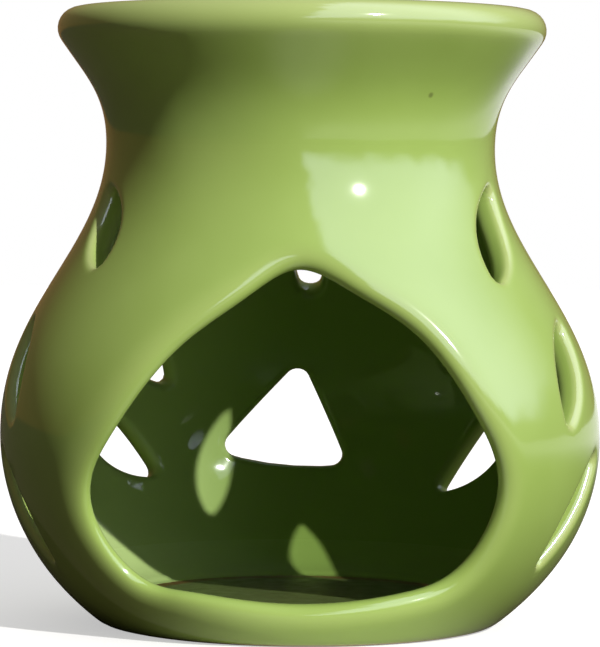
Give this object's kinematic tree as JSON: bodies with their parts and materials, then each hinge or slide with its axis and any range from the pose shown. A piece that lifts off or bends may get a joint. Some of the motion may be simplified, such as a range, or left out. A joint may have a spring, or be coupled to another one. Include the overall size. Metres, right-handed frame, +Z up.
{
  "type": "essential oil burner",
  "caption": "Round glazed pot with a flared oil bowl on top, a large opening for a tea light and leaf-shaped vents cut through the wall.",
  "frame": {"origin": "centre of the foot, on the surface that the pot stands on", "axes": "+Z up, through the middle of the oil bowl; the large opening for the tea light looks along -Y; +X to the right of someone who looks into it"},
  "size_m": [0.0882, 0.0795, 0.09],
  "materials": {
    "glazed_body": "glossy lime-green glaze on earthenware",
    "glazed_bowl": "glossy lime-green glaze on earthenware",
    "glazed_floor": "glossy lime-green glaze, darker where it lies thick",
    "glazed_seam": "glaze stained brown along the seam"
  },
  "bodies": {
    "root": {"burner_body": "glazed_body", "oil_bowl": "glazed_bowl", "bowl_luting_coil": "glazed_floor", "base_disc": "glazed_floor", "base_luting_coil": "glazed_seam"}
  },
  "joints": []
}
